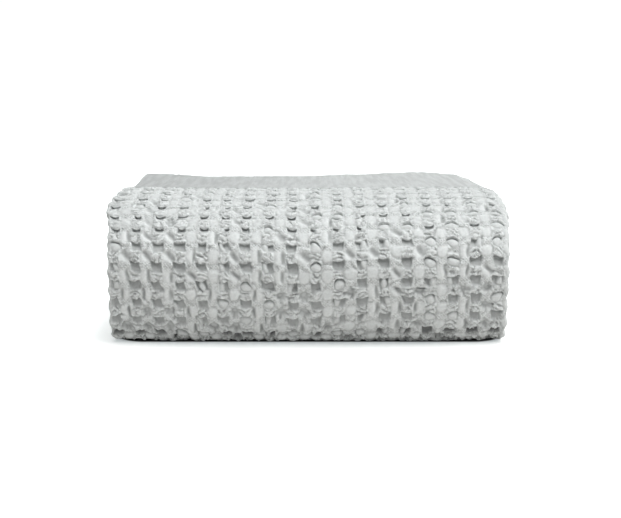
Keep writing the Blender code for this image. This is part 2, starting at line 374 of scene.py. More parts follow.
class Cells:
    """Where points of the waffle lie in its cells.

    u counts columns and v rows, with whole numbers between the cells. i and j number the cell, and a and b
    run from its middle. col and row number the nearest crossing between cells, and c and d run from there.
    over, lower and foot say how far up or down the front a point is.
    """

    def __init__(self, u, v, front, salt):
        self.front, self.salt = front, salt
        self.u = u + 0.05 * noise(u * 0.55, v * 0.5, salt + 3)
        self.v = v + 0.06 * noise(self.u * 0.45, v * 0.6, salt + 4)
        self.i, self.j = np.floor(self.u), np.floor(self.v)
        self.col, self.row = np.round(self.u), np.round(self.v)
        self.a, self.b = self.u - self.i - 0.5, self.v - self.j - 0.5
        self.c, self.d = self.u - self.col, self.v - self.row
        self.over = (1 - smooth(self.v, 5.0, 6.7)) * front
        self.lower, self.foot = smooth(self.v, 5.5, 7.6), smooth(self.v, 8.0, 10.0)
        self.own_knot = hashed(self.i, self.row, salt + 41) - 0.5
        self.warp_u = 0.9 * self.noise(2.1, 2.3, 15, right=5)
        self.warp_v = 0.9 * self.noise(2.2, 2.1, 16, below=5)
        self.fine = np.abs(self.noise(10.5, 12.5, 17, right=self.warp_v, below=self.warp_u))

    def noise(self, across, down, number, right=0, below=0):
        """Smooth noise with this many bumps to a column and to a row."""
        return noise(self.u * across + right, self.v * down + below, self.salt + number)

    def own(self, number):
        """A number of each cell's own, from -0.5 to 0.5."""
        return hashed(self.i, self.j, self.salt + number) - 0.5

    def crossing(self, number):
        """A number of each crossing's own, from -0.5 to 0.5."""
        return hashed(self.col, self.row, self.salt + number) - 0.5


def pockets(at, lean, sizes):
    """Each pocket's mask, the depth of its floor, how dark its painted shade is, what it holds, and the way
    across it.
    """
    kind = kinds(POCKETS, POCKET_SHARES, at.i, at.j, at.front, at.salt + 31)
    popped, over = kind == "p", at.over

    # Its outline, with the corners pulled out
    a = at.a - 0.03 * at.own(1) - (lean + 0.16 * at.own(2)) * at.b + 0.055 * at.noise(3.3, 3.1, 61, below=9)
    b = at.b - 0.03 * at.own(3) - 0.14 * at.own(5) * at.a + 0.055 * at.noise(3.1, 3.3, 62, right=9)
    wide = 0.212 + 0.04 * at.own(6) + 0.026 * np.clip(b / 0.21, -1, 1) ** 2
    tall = 0.222 + 0.03 * at.own(7) + 0.026 * np.clip(a / 0.20, -1, 1) ** 2 + 0.045 * smooth(at.v, 5.8, 7.5)
    tall, wide = tall * (1 - 0.34 * over), wide * (1 - 0.20 * over)
    dip = (0.090 + 0.090 * over) * half_round(a, 0.24, 1.0) - 0.06 * over
    low, high = dip - tall, tall + 0.12 * over * (half_round(a, 0.24, 1.0) - 0.6)
    from_middle = (np.abs(a / wide) ** 3.2 + np.abs((2 * b - low - high) / (high - low)) ** 3.2) ** (1 / 3.2)
    slope = np.where(b < 0, 0.14, 0.14 + 0.36 * smooth(b, 0.0, 0.18))
    bearing = np.arctan2(b, a)
    uneven = 1 + 0.07 * np.sin(2 * bearing + 6 * at.own(8)) + 0.05 * np.sin(3 * bearing + 6 * at.own(9))
    ring = np.sqrt((a / 0.268) ** 2 + ((b - 0.015) / (0.305 - 0.06 * over)) ** 2) / uneven
    mask = np.where(popped, eased((1.03 - ring) / 0.15), eased((1.12 - from_middle) / slope + 0.30))

    # What fills it: a dome, a narrow dome or a ridge down one side
    topmost = np.maximum(smooth(-b, -0.12, 0.12), 0.8 * at.lower)
    tight = ring * (1.0 + 0.14 * topmost) + 0.10 * topmost * (b < 0) * half_round(a, 0.2)
    swell = np.sqrt(np.clip(1 - tight**2, 0, 1))
    swell = np.maximum(swell, 0.30 * (1 - smooth(-b, -0.05, 0.20)))
    narrow = np.sqrt(np.clip(1 - (a / 0.14) ** 2 - ((b - 0.03) / 0.27) ** 2, 0, 1))
    side = np.where(kind == "l", -1.0, 1.0)
    flank = half_round(a - side * (0.105 + 0.03 * at.own(10)), 0.135) * half_round(b - 0.02, 0.25, 0.35)
    filled = np.select(
        [popped, kind == "n", (kind == "l") | (kind == "r")],
        [0.90 * swell**0.6, 0.85 * narrow**0.7, 0.82 * flank],
        0.0,
    )
    upper = smooth(-b, -0.24, 0.16)
    grain = 0.25 * at.noise(9, 9, 14)
    floor = (sizes.pocket_depth * (0.74 + 0.34 * upper) + grain * MM) * (1 - filled)

    # Its painted shade, darkest under its brow
    brow = np.exp(-(((b - low - 0.02) / 0.08) ** 2)) * half_round(a, 0.26, 0.5) * ~popped
    painted_darkness = 0.54 + 0.90 * at.lower + 0.3 * at.foot + 0.5 * upper + (1.2 + 0.9 * over + 1.5 * at.foot) * brow
    # A popped dome's painted shadow lies mostly along its top
    painted_darkness = painted_darkness * np.where(popped, 0.2 + 0.8 * topmost, 1.0)
    return mask, floor, mask * np.clip(1 - 1.25 * filled, 0, 1) * painted_darkness, kind, a


def knots(at, sizes):
    """The crinkled knot over each pocket, hanging over its upper edge: its mask and its height."""
    a, d, over, own = at.a, at.d, at.over, at.own_knot
    mask = within(a, 0.27, 0.09) * within(d, 0.285, 0.07)
    puff = half_round(a, 0.33) * half_round(d - 0.02 - 0.10 * over, 0.40) * (1 + 0.5 * over)
    puff = puff - 0.9 * over * half_round(a, 0.26, 1.0) * np.exp(-(((d + 0.28) / 0.10) ** 2))
    bend = 0.75 * at.noise(2.6, 2.2, 65, right=2) + 0.9 * own * np.cos(9 * a) - 1.8 * a * (own + 0.1)
    folds = np.cos(2 * math.pi * (d * (3.4 + 1.0 * own) + bend))
    folds = folds * half_round(a, 0.30, 0.6) * half_round(d, 0.33, 0.5)
    crease = np.abs(at.noise(4.6, 6.8, 11, right=at.warp_u + 3 * own, below=at.warp_v))
    crinkles = 0.85 * (1 - eased(crease / 0.42)) + 0.20 * (1 - eased(at.fine / 0.5))
    height = (1.35 * puff + 0.80 * (1 - 0.6 * over) * folds) * MM
    return mask, mask * (height - sizes.crinkle_height * crinkles * half_round(d, 0.3, 0.3))


def gathers(at):
    """The gathers between two pockets of a row: their mask and their height."""
    mask = within(at.c, 0.24, 0.09) * within(at.b, 0.23, 0.09)
    dots = np.sin(2 * math.pi * at.u * 7.5 + 3 * at.warp_u) * np.sin(2 * math.pi * at.v * 6.5 + 3 * at.warp_v)
    lumps = half_round(at.c - 0.05 * at.crossing(26), 0.20, 1.0) * half_round(at.b, 0.24, 1.0)
    return mask, mask * (0.55 * lumps + 0.42 * dots - 0.35 * (1 - eased(at.fine / 0.4))) * MM


def crossings(at):
    """What stands at each crossing: its height, how far it is sunk, which sets its painted shade, and how
    clear of it the cloth is.
    """
    kind = kinds(CROSSINGS, CROSSING_SHARES, at.col, at.row, at.front, at.salt + 57)
    c, d, over = at.c - 0.05 * at.crossing(21), at.d - 0.04 * at.crossing(22), at.over
    heart = 0.250 + 0.05 * at.crossing(23) - 0.14 * np.clip(d, -0.4, 0.4)
    radius = np.sqrt((c / heart) ** 2 + (d / (0.300 + 0.05 * at.crossing(24))) ** 2)
    radius = radius * (1 + 0.16 * at.noise(3.3, 3.1, 66, right=7))
    dome = (1.7 + 0.9 * at.crossing(27)) * np.clip(1 - (0.92 * radius) ** 2, 0, 1) ** 0.9 * (1 - 0.65 * over)

    # A star-shaped dimple
    angle = np.arctan2(d * 0.9, c)
    rays = 0.5 + 0.5 * np.cos(4 * angle + math.pi) + 0.35 * np.cos(8 * angle + 6 * at.crossing(25))
    hollow = np.exp(-((radius / 0.90) ** 2))
    star = -4.4 * hollow + 1.3 * rays * np.exp(-(((radius - 1.12) / 0.34) ** 2))

    # A ridge with a gutter beside it
    beside = np.where(kind == "W", -1.0, 1.0) * c + 0.02 + 0.05 * at.noise(3.1, 2.7, 63)
    gutter = np.exp(-(((beside - 0.165) / 0.090) ** 2)) * half_round(d, 0.40, 1.2)
    ridge = half_round(beside + 0.07, 0.19, 1.0) * half_round(d, 0.44, 0.6) - 2.6 * gutter

    # A slanting trough with a low bank
    bent = c + 0.06 * at.noise(2.9, 2.7, 64, right=3)
    across, down = bent * 0.80 - d * 0.60, bent * 0.60 + d * 0.80
    furrow = np.exp(-(((across - 0.06) / 0.140) ** 2)) * half_round(down, 0.34, 1.0)
    bank = half_round(across + 0.18, 0.16, 1.0) * half_round(down, 0.40, 1.0)
    trough = -(4.0 - 2.2 * over) * furrow + 0.6 * bank

    which = [kind == "D", kind == "S", kind == "T"]
    meeting = within(at.c, 0.40, 0.16) * within(at.d, 0.42, 0.14)
    raised = np.select(which, [dome, star, trough], ridge) * meeting * MM
    sunk = np.select(which, [0.0, hollow, furrow], gutter) * meeting
    return raised, sunk, 1 - half_round(radius, 1.30, 0.9) * (kind != "S") * (1 - 0.6 * over)


def waffle_relief(u, v, lean, sizes, front, salt):
    """The waffle's form, at u columns and v rows: how far it lies under the outside of the cloth, how far its
    lips hang over, and masks for painted shade: of its crinkled knots, of its pockets, dimples and troughs,
    of its gathers, and of its hollows, with painted light on its crests."""
    at = Cells(u, v, front, salt)
    pocket, floor, painted_shade, kind, a = pockets(at, lean, sizes)
    knot, knotted = knots(at, sizes)
    gather, gathered = gathers(at)
    raised, sunk, clear = crossings(at)
    bare, over = 1 - pocket, at.over

    lumps = 1.30 * at.noise(4.0, 3.9, 18, right=at.warp_u, below=at.warp_v) + 0.14 * at.noise(9, 8.5, 19)
    height = raised + knotted * (0.35 + 0.65 * clear) + gathered * clear
    height = height + (1.2 - 0.35 * over) * lumps * np.maximum(clear, 0.65 * over) * MM
    ground = sizes.ground_depth - height
    ground = np.minimum((ground + np.sqrt(ground**2 + (0.5 * MM) ** 2)) / 2, DEEPEST_GROUND)
    depth = ground * bare + floor * pocket

    # The knot's lower lip hangs over an empty pocket, and gives way to a full one
    hang = np.select([kind == "p", kind == "n"], [-0.5, 0.3], 1.0 + 0.7 * at.own_knot)
    lip = half_round(a, 0.27, 1.0) * smooth(at.d, 0.06, 0.27)
    slide = sizes.overhang * (0.32 + 0.68 * over) * hang * lip * bare

    # Painted shade in the dimples, troughs and gutters too, and deeper at the toe
    toe = smooth(at.v, 10.9, 11.4) * (1 - smooth(at.v, 12.4, 12.9)) * front
    painted_shade = np.maximum(painted_shade, (0.70 + 0.3 * at.foot) * sunk * bare) * (1 + 1.5 * toe)
    # Masks of the knots' creases, the puckers and the hollows, all for painted shade; the hollows' also
    # paints light on the crests
    around = 0.22 * within(at.a, 0.34, 0.08) * within(at.b, 0.33, 0.08)
    puckered = np.clip(gather + around, 0, 1) * clear * bare
    return depth, slide, (knot * clear * bare, painted_shade, puckered, hollows(ground) * bare)


def hollows(depth, reach=3):
    """How far each point of a grid, closed across, lies under the mean of those around it, in mm: the mask of
    painted shade in the hollows and painted light on the crests.
    """
    rows, mean = len(depth), np.zeros_like(depth)
    for step in range(-reach, reach + 1):
        mean = mean + np.roll(depth, step, axis=1)
    held = np.pad(mean, ((reach, reach), (0, 0)), mode="edge")
    mean = sum(held[step : step + rows] for step in range(2 * reach + 1)) / (2 * reach + 1) ** 2
    return np.clip((depth - mean) / MM, -0.25, 1.5)


def row_count(x, v):
    """Rows from the border to v: they sit a little lower on the left of the front and higher on the right."""
    lower = 0.15 * smooth(v, 5.5, 7.5) * (1 - 0.3 * smooth(v, 11.0, 13.0))
    higher = 0.27 * smooth(x, -0.02, 0.09) * smooth(v, 0.0, 3.5) * (1 - 0.4 * smooth(v, 10.0, 13.0))
    return v + (higher - lower) * (1 - smooth(v, 13.5, 18.0))


def column_count(x):
    """Columns from the left end of the cloth to x, whole numbers between the cells."""
    centres = np.array(COLUMN_X)
    edges = np.concatenate([[1.5 * centres[0] - 0.5 * centres[1]], (centres[1:] + centres[:-1]) / 2])
    edges = np.append(edges, 1.5 * centres[-1] - 0.5 * centres[-2])
    pitch = (edges[-1] - edges[0]) / COLUMNS
    inner = np.interp(x, edges, np.arange(COLUMNS + 1))
    return inner + np.minimum(x - edges[0], 0) / pitch + np.maximum(x - edges[-1], 0) / pitch


# The sleeve of cloth


def placed(name, data):
    """A new object with this mesh or camera, in the scene."""
    made = bpy.data.objects.new(name, data)
    bpy.context.scene.collection.objects.link(made)
    return made


class Loop:
    """Stations round the doubled cloth: over its near face, round the right end, back under its far face and
    round the left end. near_count and far_count say how many steps each face takes besides the end strips."""

    STRIP = 0.016

    def __init__(self, near_count, far_count, strip_count, round_count=8):
        half = WIDTH / 2 - END_RADIUS
        inner = half - self.STRIP

        def face(count):
            if count >= 40:
                return np.linspace(-half, half, count + 1)
            return np.concatenate(
                [
                    np.linspace(-half, -inner, strip_count + 1)[:-1],
                    np.linspace(-inner, inner, count + 1),
                    np.linspace(inner, half, strip_count + 1)[1:],
                ]
            )

        near, far = face(near_count), face(far_count)[::-1]
        turn = np.linspace(-math.pi / 2, math.pi / 2, round_count + 2)[1:-1]
        zero, one = np.zeros_like, np.ones_like
        self.side = np.concatenate([zero(near), one(turn), zero(far), -one(turn)])
        self.x = np.concatenate([near, half + zero(turn), far, -half + zero(turn)])
        self.angle = np.concatenate(
            [-math.pi / 2 * one(near), turn, math.pi / 2 * one(far), turn[::-1]]
        )
        self.measure = np.concatenate(
            [
                (near + half) / (2 * half),
                1 + (turn + math.pi / 2) / math.pi,
                2 + (half - far) / (2 * half),
                3 + (math.pi / 2 - turn[::-1]) / math.pi,
            ]
        )
        self.count = len(self.x)


def border_relief(fabric_x, v, free, sizes):
    """How far the plain border lies under the outside of the cloth, free metres from its free edge."""
    ripples = 0.0004 * noise(fabric_x * 40, v * 0.30, 71) + 0.0003 * noise(fabric_x * 150, v * 0.6, 72)
    crease = 0.0008 * np.exp(-(((fabric_x + 0.204 + 0.002 * v) / 0.0018) ** 2)) * smooth(-v, 0.0, 1.0)
    hem = sizes.hem_rise * within(free, sizes.hem_width, 0.002)
    groove = SEAM_DEPTH * np.exp(-(((free - sizes.hem_width + SEAM_INSET) / SEAM_DEPTH) ** 2))
    return sizes.border_drop + ripples + crease - hem + groove


def shaped_ends(x, fabric_x, v, along, waffle, sizes):
    """x with the cloth's ends uneven, drawn in beside the border, and scalloped by the rows of pockets."""
    inset = np.where(fabric_x < 0, sizes.border_inset, 0.25 * sizes.border_inset)
    inset = inset * (1 - smooth(v, -0.75, 0.10)) * np.clip(1 + v / 10.5, 0, 1)
    x = x - np.sign(x) * inset * (np.abs(fabric_x) / (WIDTH / 2)) ** 6
    scallop = sizes.end_scallop * (0.5 - 0.5 * np.cos(2 * math.pi * v)) * waffle
    return x + np.sign(x) * (end_wander(x, along) - scallop) * np.abs(x / (WIDTH / 2)) ** END_SHARPNESS


def sleeve_points(path, lengths, loop, sizes, showing, taper=(0.0, 0.0)):
    """The points of the cloth's skin on these rows, its fabric coordinates, and the masks of its relief.

    showing says how much of the full relief the near and the far face have away from the ends. taper gives
    how far from the path's start and end the thickness rounds off.
    """
    near, far, along, near_length, far_length = path.rows(lengths)
    thickness = np.linalg.norm(far - near, axis=1)
    inwards = (far - near) / thickness[:, None]
    squeeze = np.ones_like(lengths)
    for distance, run in ((lengths - path.length[0], taper[0]), (path.length[-1] - lengths, taper[1])):
        if run:
            left = np.clip(1 - distance / run, 0, 1)
            squeeze = squeeze * np.sqrt(np.clip(1 - 0.96 * left**2, 0, 1))
    radius = np.minimum(END_RADIUS, thickness / 2)[:, None]
    angle, side = loop.angle[None, :], loop.side[None, :]
    x = loop.x[None, :] + side * (END_RADIUS - radius + radius * np.cos(angle))
    x = np.where(side == 0, np.sign(loop.x) * np.minimum(np.abs(x), WIDTH / 2 - radius), x)
    across = 0.5 + 0.5 * np.sin(angle) + 0 * x

    # Fabric coordinates: out to the end, then round it
    tip = radius * (math.pi / 2 - np.abs(angle))
    fabric_x = np.where(side == 0, x, side * (WIDTH / 2 - radius + tip))
    on_near = across < 0.5
    v = np.where(on_near, near_length[:, None], far_length[:, None]) / ROW_TALL
    u = column_count(fabric_x)
    salt = np.where(on_near, 0.0, 400.0)
    lean = 0.26 * smooth(-fabric_x, 0.02, 0.16) * smooth(v, 5.0, 8.0) * on_near
    front = on_near & (v < FRONT_ROWS + 2)
    counted = np.where(on_near, row_count(fabric_x, v), v)
    depth, slide, masks = waffle_relief(u, counted, lean, sizes, front, salt)

    # The relief is full where the cloth shows and flatter at its ends, where two plies share the thickness
    edge = smooth(np.abs(fabric_x), WIDTH / 2 - 0.008, WIDTH / 2 - 0.001)
    amount = np.where(on_near, showing[0], showing[1])
    amount = amount * (1 - edge) + 0.45 * edge
    pucker = 0.05 * noise(u * 2.1, v * 0 + 3, 73)
    toe = smooth(v, 11.2, 12.0) * (1 - smooth(v, 12.4, 12.9))
    waffle = smooth(v + pucker, -0.10, 0.03) * (1 + 0.80 * toe)
    depth, slide = depth * amount * waffle, slide * amount * waffle
    masks = np.stack([mask * waffle * amount for mask in masks], axis=-1)

    # The plain border and its hem
    plain = 1 - smooth(v + pucker, -0.16, 0.0)
    lowered = border_relief(fabric_x, v, lengths[:, None] - path.length[0], sizes)
    depth = depth + plain * lowered * np.abs(np.sin(angle)) * np.where(on_near, 1.0, -0.2)
    depth = np.minimum(depth, 0.47 * thickness[:, None] * np.where(showing[0] + showing[1] > 1.2, 1, 1.6))

    x = shaped_ends(x, fabric_x, v, along[:, None], waffle, sizes)

    middle = 0.5 + (across - 0.5) * squeeze[:, None]
    section = near[:, None, :] + (far - near)[:, None, :] * middle[..., None]
    into = -np.sin(angle) * np.ones_like(x)
    section = section + inwards[:, None, :] * (depth * into)[..., None]
    ahead = np.gradient((near + far) / 2, axis=0)
    ahead = ahead / np.maximum(np.linalg.norm(ahead, axis=1), 1e-9)[:, None]
    section = section + ahead[:, None, :] * slide[..., None]
    x = x - side * np.cos(angle) * depth
    y, z = section[..., 0], section[..., 1]
    x, y, z = given(x, y, z, along[:, None])
    points = np.stack(settled(x, y, z), axis=-1)
    fabric = np.stack([fabric_x, v * ROW_TALL], axis=-1)
    return points, fabric, masks


def frame_shift(path):
    """How far the pile moves from its own axes to stand in the middle of the CAD solid's box."""
    lengths = np.linspace(path.length[0], path.length[-1], 4000)
    near, far, along, _, _ = path.rows(lengths)
    reach = []
    for station in np.linspace(-1, 1, 41):
        for face in (near, far):
            x = station * (WIDTH / 2 + end_wander(station, along) * abs(station) ** END_SHARPNESS)
            reach.append(np.stack(given(x, face[:, 0], face[:, 1], along), axis=-1))
    reach = np.concatenate(reach)
    middle = (reach.min(0) + reach.max(0)) / 2
    box_middle = (np.array(NODE_BOX[0]) + np.array(NODE_BOX[1])) / 2
    return np.array([box_middle[0] - middle[0], box_middle[1] - middle[1], 0.0])


class Skin:
    """A closed skin that is woven band by band, each band a grid of rows round the sleeve."""

    def __init__(self, sizes):
        self.path, self.shift = cloth_path()
        self.sizes = sizes
        self.points, self.fabric, self.masks = [], [], []
        self.quads, self.triangles, self.rims = [], [], []
        self.total = 0
        self.last = None

    def band(self, lengths, loop, showing, taper=(0.0, 0.0)):
        """Adds a grid of rows at these lengths, joined to the band before it."""
        points, fabric, masks = sleeve_points(self.path, lengths, loop, self.sizes, showing, taper)
        rows, count = len(lengths), loop.count
        index = self.total + np.arange(rows * count).reshape(rows, count)
        self.points.append(points.reshape(-1, 3))
        self.fabric.append(fabric.reshape(-1, 2))
        self.masks.append(masks.reshape(-1, 4))
        self.total += rows * count
        here, after = index[:-1], index[1:]
        quads = np.stack([here, after, np.roll(after, -1, 1), np.roll(here, -1, 1)], axis=-1)
        self.quads.append(quads.reshape(-1, 4))
        if self.last is None:
            self.cap(index[0], loop.x)
        else:
            self.bridge(*self.last[:2], index[0], loop.measure)
        self.last = (index[-1], loop.measure, loop.x)

    def cap(self, ring, across, backwards=False):
        """Closes the skin across one ring of points, near face to far face, station by station."""
        i, j = 0, len(ring) - 1
        while j - i > 1:
            if across[i + 1] <= across[j - 1]:
                triangle = (ring[i], ring[i + 1], ring[j])
                i += 1
            else:
                triangle = (ring[i], ring[j - 1], ring[j])
                j -= 1
            self.triangles.append(triangle[::-1] if backwards else triangle)
        self.rims.append(ring)

    def bridge(self, ring, measure, other, other_measure):
        """Joins two rings with different stations by triangles."""
        i = j = 0
        turns, other_turns = len(ring), len(other)
        first, second = np.append(measure, 4.0), np.append(other_measure, 4.0)
        while i < turns or j < other_turns:
            step_first = j >= other_turns or (i < turns and first[i + 1] <= second[j + 1])
            a, b = ring[i % turns], other[j % other_turns]
            if step_first:
                i += 1
                self.triangles.append((a, b, ring[i % turns]))
            else:
                j += 1
                self.triangles.append((a, b, other[j % other_turns]))

    def finished(self, name):
        """The skin as an object, with its fabric coordinates as a UV map and its masks as an attribute."""
        self.cap(self.last[0], self.last[2], backwards=True)
        points = np.concatenate(self.points) + self.shift
        fabric, masks = np.concatenate(self.fabric), np.concatenate(self.masks)
        quads, triangles = np.concatenate(self.quads), np.array(self.triangles)
        corners = np.concatenate([quads.ravel(), triangles.ravel()]).astype(np.int32)
        sizes = np.concatenate([np.full(len(quads), 4), np.full(len(triangles), 3)])
        mesh = bpy.data.meshes.new(name)
        mesh.vertices.add(len(points))
        mesh.vertices.foreach_set("co", points.astype(np.float32).ravel())
        mesh.loops.add(len(corners))
        mesh.loops.foreach_set("vertex_index", corners)
        mesh.polygons.add(len(sizes))
        starts = np.concatenate([[0], np.cumsum(sizes)[:-1]])
        mesh.polygons.foreach_set("loop_start", starts.astype(np.int32))
        mesh.uv_layers.new(name="fabric").data.foreach_set("uv", fabric[corners].astype(np.float32).ravel())
        # The relief and hollow masks carry the painted shade, and the painted light on the crests, to the
        # material
        relief = mesh.attributes.new("relief", "FLOAT_VECTOR", "POINT")
        relief.data.foreach_set("vector", masks[:, :3].astype(np.float32).ravel())
        hollow = mesh.attributes.new("hollow", "FLOAT", "POINT")
        hollow.data.foreach_set("value", masks[:, 3].astype(np.float32))
        mesh.update(calc_edges=True)
        mesh.validate()
        mesh.shade_smooth()
        on_rim = np.full(len(points), -1)
        for number, ring in enumerate(self.rims):
            on_rim[ring] = number
        edges = np.empty(len(mesh.edges) * 2, dtype=np.int32)
        mesh.edges.foreach_get("vertices", edges)
        ends = on_rim[edges.reshape(-1, 2)]
        sharp = (ends[:, 0] >= 0) & (ends[:, 0] == ends[:, 1])
        mesh.attributes.new("sharp_edge", "BOOLEAN", "EDGE").data.foreach_set("value", sharp)
        return placed(name, mesh)


def steps(start, stop, pitch):
    """Even steps from start to stop, about this far apart."""
    return np.linspace(start, stop, max(2, round(abs(stop - start) / pitch) + 1))


def dressed(cloth, plain=False):
    """Gives the piece its cotton, for the waffle or the plain border, hangs it on the root, and hides the CAD
    solid.
    """
    cloth.data.materials.append(cotton_material(plain))
    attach(cloth, "root")
    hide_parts(NODE)


# Node trees


class Graph:
    """Adds nodes to a tree and wires them. An input is given a plain value, or an output to link to."""

    def __init__(self, tree):
        self.nodes, self.links = tree.nodes, tree.links

    def feed(self, node, inputs):
        """Gives a node these inputs, by name or number."""
        for key, value in dict(inputs).items():
            if isinstance(value, bpy.types.NodeSocket):
                self.links.new(value, node.inputs[key])
            else:
                node.inputs[key].default_value = value

    def add(self, kind, inputs=(), **settings):
        """A new node with these settings and inputs."""
        node = self.nodes.new(kind)
        for name, value in settings.items():
            setattr(node, name, value)
        self.feed(node, inputs)
        return node

    def math(self, operation, *values):
        """Arithmetic on outputs or numbers."""
        return self.add("ShaderNodeMath", enumerate(values), operation=operation).outputs[0]

    def vector(self, operation, *values):
        """Arithmetic on vectors. Its outputs are Vector and Value."""
        return self.add("ShaderNodeVectorMath", enumerate(values), operation=operation).outputs

    def scaled(self, colour, amount):
        inputs = {0: colour, "Scale": amount}
        return self.add("ShaderNodeVectorMath", inputs, operation="SCALE").outputs["Vector"]

    def step(self, value, limits, results):
        """value, between two limits, turned into a smooth step between two results."""
        inputs = dict(zip(("From Min", "From Max", "To Min", "To Max"), (*limits, *results)))
        inputs["Value"] = value
        return self.add("ShaderNodeMapRange", inputs, interpolation_type="SMOOTHSTEP").outputs["Result"]

    def flat_noise(self, place, scale, detail, distortion=0.0):
        """Noise on a plane, from 0 to 1."""
        inputs = {"Vector": place, "Scale": scale, "Detail": detail, "Distortion": distortion}
        return self.add("ShaderNodeTexNoise", inputs, noise_dimensions="2D").outputs["Fac"]


def new_tree(name, kind, inputs, outputs):
    """An empty node tree with these sockets: each name has its kind, and a default where it needs one."""
    tree = bpy.data.node_groups.new(name, kind)
    for way, sockets in (("INPUT", inputs), ("OUTPUT", outputs)):
        for title, (form, *default) in sockets.items():
            made = tree.interface.new_socket(name=title, in_out=way, socket_type=f"NodeSocket{form}")
            if default:
                made.default_value = default[0]
    return tree


def new_material(name, settings):
    """A new material, its graph, and its shader with these settings."""
    material = bpy.data.materials.new(name)
    material.use_nodes = True
    graph = Graph(material.node_tree)
    shader = graph.nodes["Principled BSDF"]
    graph.feed(shader, settings)
    return material, graph, shader


# The hem's stitches

# Steps of the border's loop: near face, far face, end strips, round an end
BORDER_STATIONS = (240, 12, 4, 6)
STITCH_SHARE = 0.74


def seam_line(path, sizes, shift):
    """Points along the hem's seam, in its groove on the border's upper face."""
    loop = Loop(*BORDER_STATIONS)
    along = path.length[0] + sizes.hem_width - SEAM_INSET
    points, fabric, _ = sleeve_points(path, along + np.array([-0.0004, 0.0, 0.0004]), loop, sizes, (1.0, 0.0))
    on_top = (np.arange(loop.count) <= BORDER_STATIONS[0]) & (np.abs(fabric[1, :, 0]) < WIDTH / 2 - 0.004)
    return points[1, on_top] + shift + np.array([0.0, 0.0, 0.00025])


def stitch_tree():
    """Geometry Nodes that lay short stitches, evenly but not quite straight, along a line of edges."""
    tree = new_tree(
        "running_stitches",
        "GeometryNodeTree",
        {
            "Seam": ("Geometry",),
            "Stitch Pitch": ("Float", 0.0042),
            "Stitch Length": ("Float", 0.0031),
            "Thread Radius": ("Float", 0.0004),
            "Waver": ("Float", 0.10),
            "Seed": ("Int", 5),
            "Thread": ("Material",),
        },
        {"Stitches": ("Geometry",)},
    )
    graph = Graph(tree)
    given_in = graph.add("NodeGroupInput").outputs
    line = graph.add("GeometryNodeMeshToCurve", {"Mesh": given_in["Seam"]})
    pacing = {"Curve": line.outputs["Curve"], "Length": given_in["Stitch Pitch"]}
    paced = graph.add("GeometryNodeResampleCurve", pacing, mode="LENGTH")
    bead = graph.add("GeometryNodeMeshUVSphere", {"Segments": 8, "Rings": 6, "Radius": 1.0})
    half, radius = graph.math("MULTIPLY", given_in["Stitch Length"], 0.5), given_in["Thread Radius"]
    size = graph.add("ShaderNodeCombineXYZ", {"X": half, "Y": radius, "Z": radius})
    shaping = {"Geometry": bead.outputs["Mesh"], "Scale": size.outputs["Vector"]}
    shaped = graph.add("GeometryNodeTransform", shaping)
    ahead = graph.add("GeometryNodeInputTangent")
    turned = graph.add("FunctionNodeAlignRotationToVector", {"Vector": ahead.outputs["Tangent"]}, axis="X")
    placing = {
        "Points": paced.outputs["Curve"],
        "Instance": shaped.outputs["Geometry"],
        "Rotation": turned.outputs["Rotation"],
    }
    sewn = graph.add("GeometryNodeInstanceOnPoints", placing)
    waver = given_in["Waver"]
    limits = {"Min": graph.math("MULTIPLY", waver, -1.0), "Max": waver, "Seed": given_in["Seed"]}
    skew = graph.add("FunctionNodeRandomValue", limits, data_type="FLOAT")
    about_z = graph.add("ShaderNodeCombineXYZ", {"Z": skew.outputs["Value"]})
    turning = {"Instances": sewn.outputs["Instances"], "Rotation": about_z.outputs["Vector"]}
    askew = graph.add("GeometryNodeRotateInstances", turning)
    real = graph.add("GeometryNodeRealizeInstances", {"Geometry": askew.outputs["Instances"]})
    painting = {"Geometry": real.outputs["Geometry"], "Material": given_in["Thread"]}
    painted = graph.add("GeometryNodeSetMaterial", painting)
    graph.add("NodeGroupOutput", {"Stitches": painted.outputs["Geometry"]})
    return tree


def grown(name, seam, tree, settings):
    """The mesh that a Geometry Nodes tree grows on seam, as a plain object of this name."""
    carrier = placed(f"{name}_seam", seam)
    nodes = carrier.modifiers.new("stitches", "NODES")
    nodes.node_group = tree
    for item in tree.interface.items_tree:
        if item.item_type == "SOCKET" and item.in_out == "INPUT" and item.name in settings:
            nodes[item.identifier] = settings[item.name]
    evaluated = carrier.evaluated_get(bpy.context.evaluated_depsgraph_get())
    mesh = bpy.data.meshes.new_from_object(evaluated)
    mesh.name = name
    bpy.data.objects.remove(carrier)
    return placed(name, mesh)


# Finishes


def weave_group():
    """Plain-woven thread on the fabric coordinates: its height, and how uneven it is."""
    outputs = {"Height": ("Float",), "Slub": ("Float",)}
    tree = new_tree(
        "plain_weave", "ShaderNodeTree", {"Fabric": ("Vector",), "Thread Pitch": ("Float", 0.0008)}, outputs
    )
    graph = Graph(tree)
    given_in = graph.add("NodeGroupInput").outputs
    split = graph.add("ShaderNodeSeparateXYZ", {0: given_in["Fabric"]})
    waves = []
    for axis in "XY":
        threads = graph.math("DIVIDE", split.outputs[axis], given_in["Thread Pitch"])
        waves.append(graph.math("SINE", graph.math("MULTIPLY", threads, math.pi)))
    slub = graph.flat_noise(given_in["Fabric"], 420.0, 3.0)
    height = graph.math("MULTIPLY_ADD", graph.math("MULTIPLY", *waves), 0.5, slub)
    graph.add("NodeGroupOutput", {"Height": height, "Slub": slub})
    return tree


